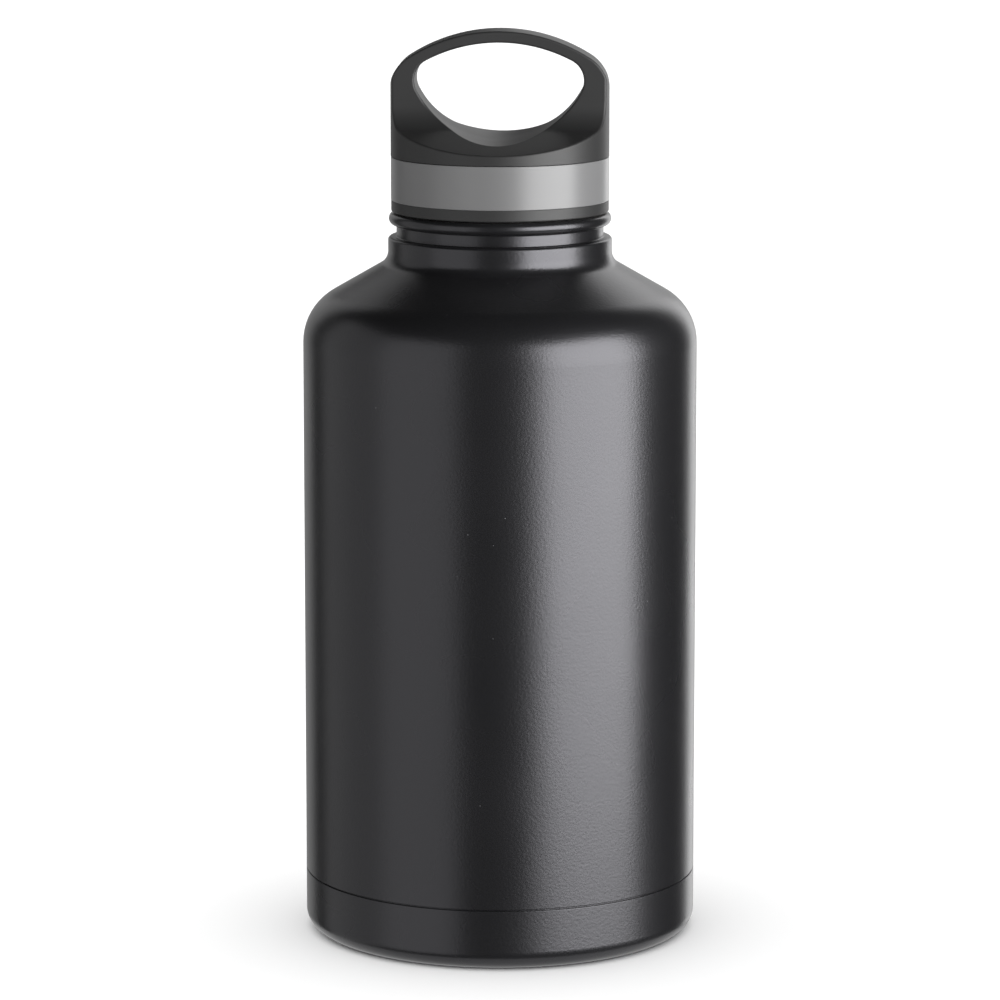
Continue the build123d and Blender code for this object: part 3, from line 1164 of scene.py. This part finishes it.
@dataclass
class Studio:
    """Camera, lights, floor and surroundings.

    Args:
        turn: Camera's angle from the front, towards +X, in degrees.
        away: Camera's distance from the axis.
        height: Camera's height.
        aim: Height on the axis that the camera looks at.
        lens: Focal length in millimetres on a 36 mm sensor.
        ring: Distance of the upright lights from the axis.
        floor_glow: Brightness of the lit floor.
        floor_softness: Angle that the floor's own light comes from, in degrees.
        card_r: Radius of the card under the base.
        card_glow: Brightness of the card.
        panels: The upright lights.
    """

    turn: float = 2.5
    away: float = 1.53
    height: float = 0.400
    aim: float = 0.1375
    lens: float = 176.3
    ring: float = 1.4
    floor_glow: float = 1.5
    floor_softness: float = 140.0
    card_r: float = 0.065
    card_glow: float = 0.8
    panels: tuple[Panel, ...] = PANELS

    def direction(self, azimuth: float) -> Vector:
        """Level unit vector from the axis, that many degrees round from the camera."""
        angle = math.radians(self.turn + azimuth)
        return Vector((math.sin(angle), -math.cos(angle), 0.0))

    def camera(self) -> None:
        """Set the camera, pitched down at its aim, with no shift."""
        data = bpy.data.cameras.new("camera")
        data.lens, data.sensor_width = self.lens, SENSOR
        data.clip_start, data.clip_end = CLIP
        camera = bpy.data.objects.new("camera", data)
        camera.location = self.direction(0.0) * self.away + Vector((0.0, 0.0, self.height))
        look = Vector((0.0, 0.0, self.aim)) - camera.location
        camera.rotation_euler = look.to_track_quat("-Z", "Y").to_euler()
        bpy.context.scene.collection.objects.link(camera)
        bpy.context.scene.camera = camera

    def lights(self, floor: bpy.types.Object) -> None:
        """Add the upright panels, which the camera can't see and which don't light the floor.

        A panel's width spans its angle at the ring. A face of brightness 1 gives off pi watts
        from each square metre.

        Args:
            floor: The floor.
        """
        unlit = bpy.data.collections.new("unlit_floor")
        unlit.objects.link(floor)
        unlit.collection_objects[0].light_linking.link_state = "EXCLUDE"
        for panel in self.panels:
            data = bpy.data.lights.new(panel.name, "AREA")
            data.shape = "RECTANGLE"
            data.size = 2 * self.ring * math.tan(math.radians(panel.end - panel.start) / 2)
            data.size_y = panel.high - panel.low
            data.energy = math.pi * data.size * data.size_y * panel.glow
            lamp = bpy.data.objects.new(panel.name, data)
            away = self.direction((panel.start + panel.end) / 2)
            lamp.location = away * self.ring + Vector((0.0, 0.0, (panel.high + panel.low) / 2))
            lamp.rotation_euler = (-away).to_track_quat("-Z", "Y").to_euler()
            lamp.visible_camera = False
            lamp.light_linking.receiver_collection = unlit
            bpy.context.scene.collection.objects.link(lamp)

    def floor_light(self, floor: bpy.types.Object) -> None:
        """Light the floor alone from overhead, so that the object shades it softly.

        Args:
            floor: The floor.
        """
        data = bpy.data.lights.new("over_floor", "SUN")
        data.energy = math.pi * self.floor_glow
        data.angle = math.radians(self.floor_softness)
        lamp = bpy.data.objects.new("over_floor", data)
        lamp.visible_glossy = False
        bpy.context.scene.collection.objects.link(lamp)
        lit = bpy.data.collections.new("lit_floor")
        lit.objects.link(floor)
        lamp.light_linking.receiver_collection = lit

    def floor(self) -> bpy.types.Object:
        """Lay a pale floor that the glossy body doesn't mirror.

        Returns:
            The floor.
        """
        mesh = bpy.data.meshes.new("floor")
        edge = FLOOR_REACH
        square = [(-edge, -edge, 0), (edge, -edge, 0), (edge, edge, 0), (-edge, edge, 0)]
        mesh.from_pydata(square, [], [(0, 1, 2, 3)])
        mesh.materials.append(FLOOR_PAPER.dress())
        floor = bpy.data.objects.new("floor", mesh)
        floor.visible_glossy = False
        floor.visible_shadow = False
        bpy.context.scene.collection.objects.link(floor)
        return floor

    def card(self) -> None:
        """Lay a round card that only the gloss of the base edge sees, glowing like lit paper."""
        angle = np.linspace(0.0, 2 * np.pi, CARD_SIDES, endpoint=False)
        low = np.full(CARD_SIDES, -CARD_DEPTH)
        rim = np.column_stack([self.card_r * np.cos(angle), self.card_r * np.sin(angle), low])
        mesh = bpy.data.meshes.new("card")
        mesh.from_pydata(rim.tolist(), [], [list(range(CARD_SIDES))])
        glow = Dressing("lit card")
        glow.set(
            Base_Color=rgba(BLACK), Emission_Color=rgba(WHITE), Emission_Strength=self.card_glow
        )
        mesh.materials.append(glow.material)
        card = bpy.data.objects.new("card", mesh)
        card.visible_camera = card.visible_diffuse = card.visible_shadow = False
        bpy.context.scene.collection.objects.link(card)

    def surroundings(self) -> None:
        """White to the camera and nearly dark to everything else."""
        world = bpy.data.worlds.new("studio")
        world.use_nodes = True
        tree = world.node_tree
        tree.nodes.clear()
        shader = Shader(tree)
        path = shader.add("ShaderNodeLightPath")
        background = shader.add("ShaderNodeBackground")
        output = shader.add("ShaderNodeOutputWorld")
        colour = shader.blend(path.outputs["Is Camera Ray"], rgba(DIM), rgba(WHITE))
        shader.feed(colour, background.inputs[0])
        shader.feed(background.outputs[0], output.inputs[0])
        bpy.context.scene.world = world
        bpy.context.scene.view_settings.view_transform = "Standard"

    def build(self) -> None:
        """Set the whole studio."""
        self.camera()
        floor = self.floor()
        self.floor_light(floor)
        self.lights(floor)
        self.card()
        self.surroundings()


def main() -> None:
    """Load the frame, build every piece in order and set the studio."""
    logging.basicConfig(level=logging.INFO, format="%(name)s: %(message)s")
    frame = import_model()
    build_groups()
    Vessel().build(frame["nodes"])
    Seal().build()
    Lid().build(frame["nodes"])
    Studio().build()


if __name__ == "__main__":
    main()
